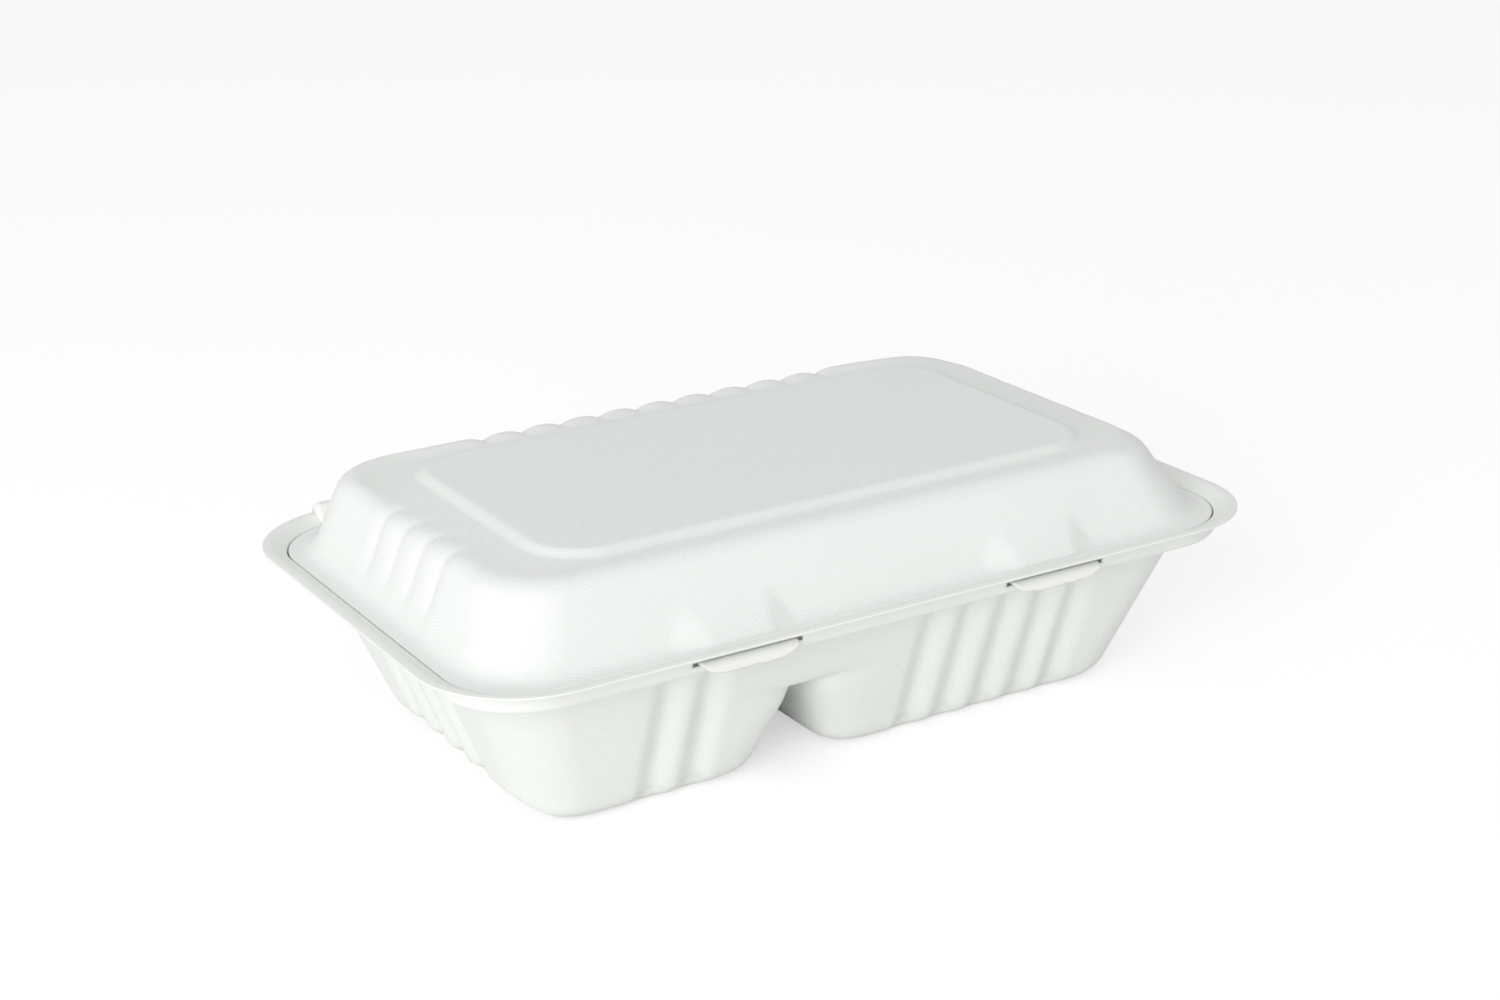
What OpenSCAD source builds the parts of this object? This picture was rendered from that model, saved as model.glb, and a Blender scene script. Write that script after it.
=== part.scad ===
// Two-compartment meal box in moulded plant fibre, with a hinged lid, shown closed.
// Each shell is one sheet: rings of points run round it, outside and inside, and are
// skinned into a closed wall. The origin is the middle of the underside, +X runs along
// the length, -Y is the side that opens and +Z is up.

/* [Tray] */
// Length over the rim
box_l = 240; // [220:1:280]
// Width over the rim
box_w = 150; // [140:1:190]
// Height of the lip's top face above the table
tray_h = 50; // [44:1:66]
// Thickness of the moulded sheet
wall_t = 0.9; // [0.7:0.1:1.2]
// Corner radius of the rim in plan
rim_r = 28; // [24:1:32]
// How fast the corners tighten towards the floor, per millimetre of inset
corner_shrink = 0.22; // [0.1:0.01:0.35]
// Width of the lip from its edge to the rim's wall
lip_w = 6.2; // [5.6:0.2:7.6]
// Width of the lip's flat edge, outside its inner slope
lip_flat = 2.2; // [1.4:0.2:3]
// Fall of the lip's inner slope
lip_fall = 1.8; // [1.2:0.1:2.2]
// Depth of the recess inside the lip
recess_h = 6; // [5.5:0.5:9]
// Width of the flat seat in the recess
seat_w = 5.3; // [4.5:0.1:8]
// Lean of the cup walls from upright, in degrees
wall_lean = 21; // [15:1:24]
// Radius between cup wall and floor
floor_r = 8; // [5:0.5:10]

/* [Divider] */
// Place of the divider along the length
divider_x = -16.5; // [-24:0.5:-8]
// Height of the channel's ceiling under the divider
divider_h = 26; // [20:1:32]
// Width of the channel's ceiling
crest_w = 3; // [2:0.5:6]
// Corner radius of the cups beside the divider
cup_corner_r = 9; // [6:0.5:11]

/* [Flutes] */
// Distance from one flute to the next
flute_pitch = 12; // [11:0.5:13]
// Half the width of a flute
flute_w = 4; // [3:0.25:5]
// Depth of the tray's flutes
tray_flute_d = 1.6; // [0.8:0.1:2.2]
// Depth of the lid's flutes
lid_flute_d = 1.5; // [0.8:0.1:2.2]
// Flutes on the small compartment's long walls
small_flutes = 2; // [1:1:3]
// Flutes on the large compartment's long walls
large_flutes = 5; // [3:1:5]
// Flutes on each short wall
end_flutes = 4; // [2:1:4]
// Flutes on the lid's rear wall
lid_rear_flutes = 10; // [6:1:10]

/* [Lid] */
// Height of the lid's outer top face above the lip
lid_h = 18.5; // [14:0.5:26]
// Gap between the lid's skirt and the lip
skirt_gap = 0.5; // [0.3:0.1:0.8]
// Gap under the skirt where it rests on the seat
rest_gap = 0.1; // [0.05:0.05:0.2]
// Width of the lid's flange, which lies level with the foot of the lip's slope
flange_w = 3.2; // [3:0.1:5]
// Lean of the dome's wall from upright, in degrees
dome_lean = 23; // [15:1:28]
// Radius of the dome's shoulder
shoulder_r = 6; // [4:0.5:8]
// Length of the raised panel
panel_l = 164; // [150:1:170]
// Width of the raised panel
panel_w = 89; // [80:1:95]
// Corner radius of the raised panel
panel_r = 16; // [10:1:20]
// Rise of the panel above the dome's top
panel_rise = 1.5; // [0.8:0.1:2.5]
// Width of the slope round the panel
panel_slope = 4; // [2:0.5:6]

/* [Lock] */
// Half the distance between the two lock tabs
tab_x = 46; // [40:0.5:50]
// Shift of both lock tabs towards the large compartment
tab_shift = 2.5; // [0:0.5:4]
// Length of a lock tab
tab_l = 27; // [24:0.5:30]
// Reach of a tab past the rim's wall
tab_reach = 1.8; // [1.2:0.1:2.5]
// Drop of the tab's tip
tab_drop = 2.6; // [1.5:0.1:3]
// Gap between a tab and each end of its slot
slot_end_gap = 1.5; // [0.8:0.1:2]
// Height of the slot in the rim
slot_h = 2.4; // [2:0.1:2.5]
// Half the width of the buttress above a tab
buttress_w = 8.5; // [7:0.5:11]
// Width of the buttress's side slope
buttress_slope = 7.5; // [3:0.5:8]
// How far the buttress stands out of the wall at its foot
buttress_d = 2.3; // [1:0.1:2.5]
// Height of the buttress
buttress_h = 8; // [6:0.5:10]

/* [Hinge] */
// Length of the fold along the rear rim
fold_l = 194; // [160:1:200]
// Height of the fold above the lip
fold_h = 3; // [2.4:0.1:4]
// Thickness of the pressed fold
fold_t = 0.6; // [0.4:0.1:0.8]
// Distance of the fold's root from the lip's edge
fold_edge = 1; // [0.8:0.1:1.5]

/* [Hidden] */
fibre = [0.93, 0.93, 0.90];
pressed_fibre = [0.88, 0.88, 0.84];
corner_n = 6;       // steps round a corner
cup_corner_n = 4;   // steps round a cup's corner beside the divider
fold_n = 8;         // steps over the fold
min_step = 0.1;     // least distance between two columns of points
lean_t = wall_t / cos(wall_lean);   // the leaning wall, measured level
dome_t = wall_t / cos(dome_lean);

// Levels of the tray
lip_under_z = tray_h - wall_t;
slope_z = tray_h - lip_fall;
slope_under_z = slope_z - wall_t;
seat_z = tray_h - recess_h;
seat_under_z = seat_z - wall_t;
slot_z0 = seat_z + 0.7;
slot_z1 = min(slot_z0 + slot_h, slope_under_z - 0.1);
wall_top_z = seat_under_z - 1.6;
flute_top_z = seat_under_z - 6.5;
flute_full_z = flute_top_z - 3.5;
floor_tangent_z = floor_r * (1 - sin(wall_lean));
flute_end_z = floor_tangent_z + 3;

// Insets of the tray's outer face from the lip's edge
band_in = lip_w - wall_t + 0.1;
band_draft = 0.08;   // inward millimetres for each millimetre down the band
wall_in = lip_w + wall_t + seat_w + 1.8;
function band_inset(z) = band_in + (lip_under_z - z) * band_draft;
function wall_inset(z) = wall_in + (wall_top_z - z) * tan(wall_lean);
function corner_radius(inset) = rim_r - inset * corner_shrink;

// Columns of points [place, flute, buttress], sorted by place and kept apart
function sorted(v) = len(v) < 2 ? v :
    let (p = v[0][0],
         low = [for (i = [1:len(v) - 1]) if (v[i][0] < p) v[i]],
         high = [for (i = [1:len(v) - 1]) if (v[i][0] >= p) v[i]])
    concat(sorted(low), [v[0]], sorted(high));
function spread(v, i = 0, out = []) = i == len(v) ? out :
    let (x = i == 0 ? v[0][0] : max(v[i][0], out[i - 1][0] + min_step))
    spread(v, i + 1, concat(out, [[x, v[i][1], v[i][2]]]));
// A column's share of a flute's depth falls off evenly to the flute's edge
function flute_share(x, middle, count) =
    let (u = (x - middle) / flute_pitch + (count - 1) / 2,
         near = round(min(max(u, 0), count - 1)))
    max(0, 1 - abs(u - near) * flute_pitch / flute_w);
function columns(v, middle, count) = [for (c = spread(sorted(v)))
    [c[0], flute_share(c[0], middle, count), c[2]]];
function reversed(v) = [for (i = [len(v) - 1:-1:0]) v[i]];
function turned(v) = [for (p = reversed(v)) [-p[0], p[1], p[2]]];
function flute_row(middle, count) = [for (i = [0:count - 1], s = [-1, 0, 1])
    [middle + (i - (count - 1) / 2) * flute_pitch + s * flute_w, 0, 0]];

// Columns of points along the tray's walls
small_middle = -54.5;
large_middle = 41;
channel_l = divider_x - crest_w / 2;   // ceiling's edges
channel_r = divider_x + crest_w / 2;
slot_l = tab_l + 2 * slot_end_gap;
tabs = [tab_shift - tab_x, tab_shift + tab_x];
slot_ends = [for (x = tabs, e = [-1, 1]) [x + e * slot_l / 2, 0, 0]];
web_n = 4;
web_cols = [for (i = [0:web_n]) [channel_l - cup_corner_r
    + i / web_n * (crest_w + 2 * cup_corner_r), 0, 0]];
small_cols = flute_row(small_middle, small_flutes);
large_cols = flute_row(large_middle, large_flutes);
front_small = columns(concat(small_cols, [slot_ends[0], slot_ends[1]]),
    small_middle, small_flutes);
front_large = columns(concat(large_cols, [slot_ends[2], slot_ends[3]]),
    large_middle, large_flutes);
rear_small = columns(small_cols, small_middle, small_flutes);
rear_large = columns(large_cols, large_middle, large_flutes);
end_cols = columns(flute_row(0, end_flutes), 0, end_flutes);
tray_front = concat(front_small, web_cols, front_large);
tray_rear = concat(rear_small, web_cols, rear_large);

// Quarter circle about [x, y], with both ends
function arc(x, y, r, a0, n) = [for (k = [0:n]) [x + r * cos(a0 + 90 * k / n),
    y + r * sin(a0 + 90 * k / n)]];

// How much a short wall's columns draw together to stay on its straight part
function squeeze(ends, straight) =
    min(1, straight / (max(-ends[0][0], ends[len(ends) - 1][0]) + 0.5));

// Closed loop of a rounded rectangle, counter-clockwise from the front left. A column's
// flute moves it inwards by fd and its buttress moves it outwards by bd.
function loop(a, b, r, z, front, rear, ends, fd = 0, bd = 0) = let (k = squeeze(ends, b - r))
    [for (p = concat(
    [for (c = front) [c[0], -b + c[1] * fd - c[2] * bd]],
    arc(a - r, -b + r, r, -90, corner_n),
    [for (c = ends) [a - c[1] * fd, c[0] * k]],
    arc(a - r, b - r, r, 0, corner_n),
    [for (c = reversed(rear)) [c[0], b - c[1] * fd]],
    arc(-a + r, b - r, r, 90, corner_n),
    [for (c = reversed(ends)) [-a + c[1] * fd, c[0] * k]],
    arc(-a + r, -b + r, r, 180, corner_n))) [p[0], p[1], z]];

// Place of column i of a long wall, kept between the two corners at low and high
function kept(row, i, low, high) = min(max(row[i][0], low + (i + 1) * min_step),
    high - (len(row) - i) * min_step);

// Cup loop with its closed end at -X and the divider at x = xd, counter-clockwise from
// the rear corner beside the divider
function cup_loop(xe, b, r, xd, rd, z, front, rear, ends, fd) =
    let (lim = xd - rd, k = squeeze(ends, b - r))
    [for (p = concat([[lim, b]],
        [for (i = [len(rear) - 1:-1:0]) [kept(rear, i, r - xe, lim), b - rear[i][1] * fd]],
        arc(-xe + r, b - r, r, 90, corner_n),
        [for (c = reversed(ends)) [-xe + c[1] * fd, c[0] * k]],
        arc(-xe + r, -b + r, r, 180, corner_n),
        [for (i = [0:len(front) - 1]) [kept(front, i, r - xe, lim), -b + front[i][1] * fd]],
        [[lim, -b]])) [p[0], p[1], z]];
// The run beside the divider, from front to rear, without the two ends
function divider_run(b, xd, rd, z) =
    let (f = arc(xd - rd, -b + rd, rd, -90, cup_corner_n),
         g = arc(xd - rd, b - rd, rd, 0, cup_corner_n))
    [for (p = concat([for (k = [1:cup_corner_n]) f[k]],
        [for (k = [0:cup_corner_n - 1]) g[k]])) [p[0], p[1], z]];

// Faces. A quad's corners run clockwise seen from outside the solid; flip turns it round.
function quad(a, b, c, d, flip = false) =
    flip ? [[a, c, b], [a, d, c]] : [[a, b, c], [a, c, d]];
// Strip between two closed lists of indices
function strip(u, v, flip = false) = let (n = len(u))
    [for (i = [0:n - 1], t = quad(u[i], u[(i + 1) % n], v[(i + 1) % n], v[i], flip)) t];
function fan(u, c, flip = false) = let (n = len(u))
    [for (i = [0:n - 1]) flip ? [u[(i + 1) % n], u[i], c] : [u[i], u[(i + 1) % n], c]];
function span(start, n) = [for (i = [0:n - 1]) start + i];

// The tray's upper part: [outer inset, outer z, inner inset, inner z, flute share]
inner_band = band_in + wall_t;
tray_rows = concat([
    [0, lip_under_z, 0, tray_h, 0],
    [lip_flat - 0.2, lip_under_z, lip_flat, tray_h, 0],
    [band_in, slope_under_z, inner_band, slope_z, 0],
    [band_inset(slot_z1), slot_z1, band_inset(slot_z1) + wall_t, slot_z1, 0],
    [band_inset(slot_z0), slot_z0, band_inset(slot_z0) + wall_t, slot_z0, 0],
    [band_inset(seat_under_z) + 0.5, seat_under_z, band_inset(seat_z) + wall_t + 0.6, seat_z, 0],
    [wall_in - 1.7, seat_under_z, wall_in - 1.3, seat_z, 0],
    [wall_in, wall_top_z, wall_in + lean_t, wall_top_z + 0.5, 0]],
    [for (q = [[flute_top_z, 0], [flute_full_z, 1], [divider_h, 1]])
        [wall_inset(q[0]), q[0], wall_inset(q[0]) + lean_t, q[0], q[1]]]);
slot_row = 3;   // the slot lies between this row and the next

// The cups below the divider's ceiling: [outer inset, outer z, inner inset, inner z,
// flute share, step from the ceiling's edge]
flat_inset = wall_inset(floor_tangent_z) + floor_r * cos(wall_lean);
function fillet(q) = let (r = floor_r - wall_t)
    [flat_inset - floor_r * sin(q), floor_r - floor_r * cos(q),
     flat_inset - r * sin(q), floor_r - r * cos(q)];
crest_drop = 1.5;
function cup_row(z, share) = [wall_inset(z), z, wall_inset(z) + lean_t, z, share];
cup_rows = concat(
    [cup_row(divider_h - crest_drop, 1), cup_row((divider_h + flute_end_z) / 2, 1),
     cup_row(flute_end_z, 1)],
    [for (k = [2:-1:0]) let (q = (90 - wall_lean) * k / 2, f = fillet(q))
        [f[0], f[1], f[2], f[3], 0]]);
function divider_inset(row) = crest_drop * 0.6 - wall_inset(divider_h - crest_drop) + row[0];
function divider_corner(row) = cup_corner_r - divider_inset(row) * 0.15;

module tray() {
    un = len(tray_front) + len(tray_rear) + 2 * len(end_cols) + 4 * (corner_n + 1);
    rows = len(tray_rows);
    upper = [for (s = [0, 1], row = tray_rows)
        let (inset = row[2 * s], z = row[2 * s + 1])
        loop(box_l / 2 - inset, box_w / 2 - inset, corner_radius(row[2 * s]), z,
            tray_front, tray_rear, end_cols, row[4] * tray_flute_d)];
    // index of the first column of the web on the front and on the rear
    web_f = len(front_small);
    rear_start = len(tray_front) + 2 * (corner_n + 1) + len(end_cols);
    web_r = rear_start + len(rear_large);
    run_n = 2 * cup_corner_n;
    crest = tray_rows[rows - 1];
    // web points for each face: rows from front to rear, columns from small to large cup
    web = [for (s = [0, 1])
        let (b = box_w / 2 - crest[2 * s],
             ra = divider_run(b, channel_l - s * lean_t, cup_corner_r, 0),
             rb = divider_run(b, -channel_r - s * lean_t, cup_corner_r, 0))
        [for (j = [0:run_n - 1], c = [0:web_n]) let (k = c / web_n)
            [ra[j][0] * (1 - k) - rb[j][0] * k, ra[j][1] * (1 - k) + rb[j][1] * k,
             divider_h + s * wall_t]]];
    web_count = run_n * (web_n + 1);
    function cup_points(xd, front, rear, turn) = [for (s = [0, 1], row = cup_rows)
        let (inset = row[2 * s], b = box_w / 2 - inset, r = corner_radius(row[2 * s]),
             x = xd - divider_inset(row) - (row[2 * s] - row[0]),
             rd = divider_corner(row), z = row[2 * s + 1],
             p = concat(cup_loop(box_l / 2 - inset, b, r, x, rd, z, front, rear, end_cols,
                 row[4] * tray_flute_d), divider_run(b, x, rd, z)))
        turn ? [for (q = p) [-q[0], -q[1], q[2]]] : p];
    small = cup_points(channel_l, front_small, rear_small, false);
    large = cup_points(-channel_r, turned(rear_large), turned(front_large), true);
    cn = len(cup_rows);
    small_n = len(small[0]);
    large_n = len(large[0]);
    web_at = 2 * rows * un;
    small_at = web_at + 2 * web_count;
    large_at = small_at + 2 * cn * small_n;
    centre_at = large_at + 2 * cn * large_n;
    centres = [for (x = [small_middle, large_middle], s = [0, 1]) [x, 0, s * wall_t]];
    points = concat([for (r = upper, p = r) p], [for (w = web, p = w) p],
        [for (r = small, p = r) p], [for (r = large, p = r) p], centres);
    function u(s, row, i) = (s * rows + row) * un + i % un;
    function ring(s, row) = span(u(s, row, 0), un);
    function w(s, j, c) = j < 0 ? u(s, rows - 1, web_f + c)
        : j >= run_n ? u(s, rows - 1, web_r + web_n - c)
        : web_at + s * web_count + j * (web_n + 1) + c;
    // top loops of the cups, made of the upper part's last ring and the web's sides
    function small_top(s) = concat([for (i = [web_r + web_n:un - 1]) u(s, rows - 1, i)],
        [for (i = [0:web_f]) u(s, rows - 1, i)], [for (j = [0:run_n - 1]) w(s, j, 0)]);
    function large_top(s) = concat([for (i = [web_f + web_n:web_r]) u(s, rows - 1, i)],
        [for (j = [run_n - 1:-1:0]) w(s, j, web_n)]);
    function in_slot(i) = i < 0 || i > len(tray_front) - 2 ? false
        : let (x = (tray_front[i][0] + tray_front[i + 1][0]) / 2)
        min(abs(x - tabs[0]), abs(x - tabs[1])) < slot_l / 2;
    upper_faces = [for (s = [0, 1], row = [0:rows - 2], i = [0:un - 1])
        if (!(row == slot_row && in_slot(i)))
            each quad(u(s, row, i), u(s, row, i + 1), u(s, row + 1, i + 1), u(s, row + 1, i),
                s == 1)];
    slot_faces = [for (i = [0:len(tray_front) - 2]) if (in_slot(i)) each concat(
        quad(u(0, slot_row, i), u(0, slot_row, i + 1), u(1, slot_row, i + 1),
            u(1, slot_row, i)),
        quad(u(0, slot_row + 1, i), u(0, slot_row + 1, i + 1), u(1, slot_row + 1, i + 1),
            u(1, slot_row + 1, i), true),
        in_slot(i - 1) ? [] : quad(u(0, slot_row, i), u(1, slot_row, i),
            u(1, slot_row + 1, i), u(0, slot_row + 1, i)),
        in_slot(i + 1) ? [] : quad(u(0, slot_row, i + 1), u(1, slot_row, i + 1),
            u(1, slot_row + 1, i + 1), u(0, slot_row + 1, i + 1), true))];
    edge_faces = strip(ring(1, 0), ring(0, 0));
    web_faces = [for (s = [0, 1], j = [-1:run_n - 1], c = [0:web_n - 1])
        each quad(w(s, j, c), w(s, j, c + 1), w(s, j + 1, c + 1), w(s, j + 1, c), s == 1)];
    function cup_faces(at, n, top, centre) = [for (s = [0, 1]) each concat(
        strip(s == 0 ? top[0] : top[1], span(at + s * cn * n, n), s == 1),
        [for (k = [0:cn - 2]) each strip(span(at + (s * cn + k) * n, n),
            span(at + (s * cn + k + 1) * n, n), s == 1)],
        fan(span(at + (s * cn + cn - 1) * n, n), centre + s, s == 1))];
    faces = concat(upper_faces, slot_faces, edge_faces, web_faces,
        cup_faces(small_at, small_n, [small_top(0), small_top(1)], centre_at),
        cup_faces(large_at, large_n, [large_top(0), large_top(1)], centre_at + 2));
    color(fibre) polyhedron(points, faces, convexity = 10);
}

// The lid: [half length, half width, corner radius, z] for both faces, with the shares
// of flute and buttress
skirt_in = inner_band + skirt_gap;
skirt_foot_in = band_inset(seat_z) + wall_t + skirt_gap + 0.7;
skirt_foot_z = seat_z + rest_gap;
skirt_top_z = slope_z - 0.5;
flange_z = slope_z;
dome_z = tray_h + lid_h;
foot_in = skirt_in + flange_w + 2.2;
foot_z = flange_z + 1.5;
shoulder_z = dome_z - shoulder_r * (1 - sin(dome_lean));
function dome_inset(z) = foot_in + (z - foot_z) * tan(dome_lean);
function lid_row(inset, z, inner_inset, inner_z, flute, buttress) =
    [[box_l / 2 - inset, box_w / 2 - inset, corner_radius(inset), z],
     [box_l / 2 - inner_inset, box_w / 2 - inner_inset, corner_radius(inner_inset), inner_z],
     flute, buttress];
function shoulder_row(q, flute) =
    let (x = dome_inset(shoulder_z) + shoulder_r * cos(dome_lean), r = shoulder_r - wall_t)
    lid_row(x - shoulder_r * cos(q), dome_z - shoulder_r * (1 - sin(q)),
        x - r * cos(q), dome_z - wall_t - r * (1 - sin(q)), flute, 0);
function panel_row(grow, z) = let (h = [panel_l / 2 + grow, panel_w / 2 + grow, panel_r + grow])
    [[h[0], h[1], h[2], z], [h[0], h[1], h[2], z - wall_t], 0, 0];
dome_flat_in = dome_inset(shoulder_z) + shoulder_r * cos(dome_lean) + 3;
lid_rows = concat([
    lid_row(skirt_foot_in, skirt_foot_z, skirt_foot_in + wall_t, skirt_foot_z, 0, 0),
    lid_row(skirt_in, skirt_top_z, skirt_in + wall_t, skirt_top_z - wall_t * 0.8, 0, 0),
    lid_row(skirt_in + 0.4, flange_z, skirt_in + wall_t + 0.2, flange_z - wall_t, 0, 0),
    lid_row(foot_in - 2.2, flange_z, foot_in - 1.6, flange_z - wall_t, 0, 1),
    lid_row(foot_in, foot_z, foot_in + dome_t, foot_z - 0.3, 0.5, 1)],
    [for (q = [[foot_z + buttress_h, 1, 0], [shoulder_z, 1, 0]])
        lid_row(dome_inset(q[0]), q[0], dome_inset(q[0]) + dome_t, q[0], q[1], q[2])],
    [for (q = [dome_lean + (90 - dome_lean) / 2, 90]) shoulder_row(q, q < 90 ? 1 : 0.6)],
    [lid_row(dome_flat_in, dome_z, dome_flat_in, dome_z - wall_t, 0, 0),
     panel_row(panel_slope / 2, dome_z), panel_row(-panel_slope / 2, dome_z + panel_rise)]);
lid_front = sorted([for (x = tabs, q = [[-1, 1, 0], [-1, 0, 1], [1, 0, 1], [1, 1, 0]])
    [x + q[0] * (buttress_w + q[1] * buttress_slope), 0, q[2]]]);
lid_rear = columns(flute_row(0, lid_rear_flutes), 0, lid_rear_flutes);
lid_end_middle = -2;
lid_ends = columns(flute_row(lid_end_middle, end_flutes), lid_end_middle, end_flutes);

module lid() {
    n = len(lid_front) + len(lid_rear) + 2 * len(lid_ends) + 4 * (corner_n + 1);
    rows = len(lid_rows);
    loops = [for (s = [0, 1], row = lid_rows) let (h = row[s])
        loop(h[0], h[1], h[2], h[3], lid_front, lid_rear, lid_ends,
            row[2] * lid_flute_d, row[3] * buttress_d)];
    centres = [for (s = [0, 1]) [0, 0, dome_z + panel_rise - s * wall_t]];
    function ring(s, row) = span((s * rows + row) * n, n);
    faces = concat(
        [for (s = [0, 1], row = [0:rows - 2])
            each strip(ring(s, row), ring(s, row + 1), s == 0)],
        strip(ring(1, 0), ring(0, 0), true),
        [for (s = [0, 1]) each fan(ring(s, rows - 1), 2 * rows * n + s, s == 0)]);
    color(fibre) polyhedron(concat([for (l = loops, p = l) p], centres), faces,
        convexity = 10);
}

// Fold of thin pressed fibre that stands as an arch between the tray's rear lip and the
// lid's rear flange
fold_y0 = box_w / 2 - fold_edge - fold_t;             // root on the lip
fold_y1 = box_w / 2 - skirt_in - 0.6 - 2 * fold_t;    // root on the flange
fold_lean = 1.2;   // shift of the arch's top towards the lip
module hinge_fold() {
    mid = (fold_y0 + fold_y1 + fold_t) / 2;
    half = (fold_y0 + fold_t - fold_y1) / 2;
    rise = fold_h + (tray_h - flange_z) / 2;
    function arch(r, h) = [for (k = [0:fold_n]) let (q = 180 * k / fold_n)
        [mid + r * cos(q) + fold_lean * sin(q),
         (tray_h + flange_z + (tray_h - flange_z) * cos(q)) / 2 + 0.02 + h * sin(q)]];
    color(pressed_fibre) rotate([90, 0, 90])
        linear_extrude(fold_l, center = true)
            polygon(concat(arch(half, rise), reversed(arch(half - fold_t, rise - fold_t))));
}

// Tab that leaves the lid's skirt, passes through the slot and droops over the rim's band.
// Its free edge draws back at both ends, so the corners are round.
tab_z = slot_z0 + slot_h / 2 - wall_t / 2;
function tab_root_y(z) = -box_w / 2 + skirt_foot_in
    + (skirt_in - skirt_foot_in) * (z - skirt_foot_z) / (skirt_top_z - skirt_foot_z);
tab_out_y = -box_w / 2 + band_inset(slot_z1) - 0.4;
module lock_tab(x) {
    tip_y = tab_out_y - tab_reach;
    function section(x, k) = let (y = tab_out_y + (tip_y - tab_out_y) * k,
            z = tab_z - tab_drop * k)
        [[x, tab_root_y(tab_z), tab_z], [x, tab_root_y(tab_z + wall_t), tab_z + wall_t],
         [x, tab_out_y, tab_z + wall_t], [x, y - wall_t * 0.7, z + wall_t * 0.5],
         [x, y, z], [x, tab_out_y + wall_t * 0.6, tab_z]];
    cuts = [[-1, 0.25], [-0.95, 0.7], [-0.84, 1], [0.84, 1], [0.95, 0.7], [1, 0.25]];
    rings = [for (c = cuts) section(x + c[0] * tab_l / 2, c[1])];
    m = 6;
    last = (len(cuts) - 1) * m;
    faces = concat(
        [for (i = [0:len(cuts) - 2]) each strip(span(i * m, m), span((i + 1) * m, m), true)],
        [[0, 1, 2], [0, 2, 5], [5, 2, 3], [5, 3, 4]],
        [for (f = [[0, 2, 1], [0, 5, 2], [5, 3, 2], [5, 4, 3]]) [for (i = f) last + i]]);
    color(fibre) polyhedron([for (r = rings, p = r) p], faces);
}
module left_lock_tab() lock_tab(tabs[0]);
module right_lock_tab() lock_tab(tabs[1]);

tray();
lid();
hinge_fold();
left_lock_tab();
right_lock_tab();
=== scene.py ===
"""Dresses the two-compartment meal box of moulded plant fibre.

Lengths in the shape functions are millimetres, and every mesh is written in metres. The
tray and the lid are each one closed sheet: rings of points run round the box, from its
edge to its floor or its panel, and a patch fills the middle. The rings and the patch are
worked out as whole arrays.
"""

import bpy
import numpy as np
from mathutils import Matrix, Vector


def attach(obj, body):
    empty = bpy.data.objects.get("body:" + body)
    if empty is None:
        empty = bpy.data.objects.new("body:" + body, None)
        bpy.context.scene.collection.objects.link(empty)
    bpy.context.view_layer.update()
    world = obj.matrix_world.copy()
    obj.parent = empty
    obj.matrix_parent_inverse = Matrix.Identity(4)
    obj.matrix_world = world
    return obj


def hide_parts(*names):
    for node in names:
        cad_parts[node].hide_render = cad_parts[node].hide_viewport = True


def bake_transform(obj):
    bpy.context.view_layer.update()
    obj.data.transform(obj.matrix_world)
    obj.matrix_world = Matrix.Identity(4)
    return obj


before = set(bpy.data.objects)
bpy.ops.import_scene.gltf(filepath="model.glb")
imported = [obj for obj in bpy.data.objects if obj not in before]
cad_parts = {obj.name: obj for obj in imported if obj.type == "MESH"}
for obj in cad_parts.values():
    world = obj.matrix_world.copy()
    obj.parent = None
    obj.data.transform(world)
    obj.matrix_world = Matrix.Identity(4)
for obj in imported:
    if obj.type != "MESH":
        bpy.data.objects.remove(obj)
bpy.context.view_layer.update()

# Sizes shared with the part's source
HALF_L = 120.0
HALF_W = 75.0
TRAY_H = 50.0
WALL = 0.9
RIM_R = 28.0
WALL_LEAN = np.radians(21)
DOME_LEAN = np.radians(23)
SEAT_Z = 44.0
LID_TOP = 68.5
PANEL_RISE = 1.5
DIVIDER_X = -16.5
DIVIDER_H = 26.0
CREST_W = 3.0
TABS = (-43.5, 48.5)
SLOT_HALF = 15.2
SLOT_Z = (45.3, 46.6)
FLUTE_PITCH = 12.0
# Looks only: slope and start of the cut under the tray's ends, share of the wire imprint
# on the smooth inner faces, and distance between two wires
END_CUT = (0.7, 82.2)
INSIDE_PRINT = 0.15
WIRE_PITCH = 1.0


def look_through_camera():
    """Puts the camera where the photograph was taken from.

    The camera turns about the box's middle at lip height: backwards = (sin a cos e,
    -cos a cos e, sin e) for azimuth a and elevation e, and a small roll about the view.
    The focal length and that middle's place past the picture's middle are in pixels.
    """
    azimuth, elevation, roll = np.radians([-30.58, 19.56, 1.47])
    focal, scale = 2553.94, 3.71
    past_middle, below_middle = 3.42, 19.14
    sa, ca = np.sin(azimuth), np.cos(azimuth)
    se, ce = np.sin(elevation), np.cos(elevation)
    back = np.array([sa * ce, -ca * ce, se])
    right = np.array([ca, sa, 0.0])
    up = np.array([-sa * se, ca * se, ce])
    middle = np.array([0.0, 0.0, 50.0])
    place = middle + back * focal / scale - right * past_middle / scale + up * below_middle / scale
    cr, sr = np.cos(roll), np.sin(roll)
    turn = Matrix(np.array([right * cr - up * sr, right * sr + up * cr, back]).T.tolist())
    data = bpy.data.cameras.new("camera")
    data.sensor_fit = "HORIZONTAL"
    data.sensor_width = 36.0
    data.lens = focal / 1500 * 36
    data.clip_start = 0.01
    data.clip_end = 50.0
    camera = bpy.data.objects.new("camera", data)
    camera.matrix_world = Matrix.Translation(Vector(place / 1000)) @ turn.to_4x4()
    bpy.context.scene.collection.objects.link(camera)
    bpy.context.scene.camera = camera


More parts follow.
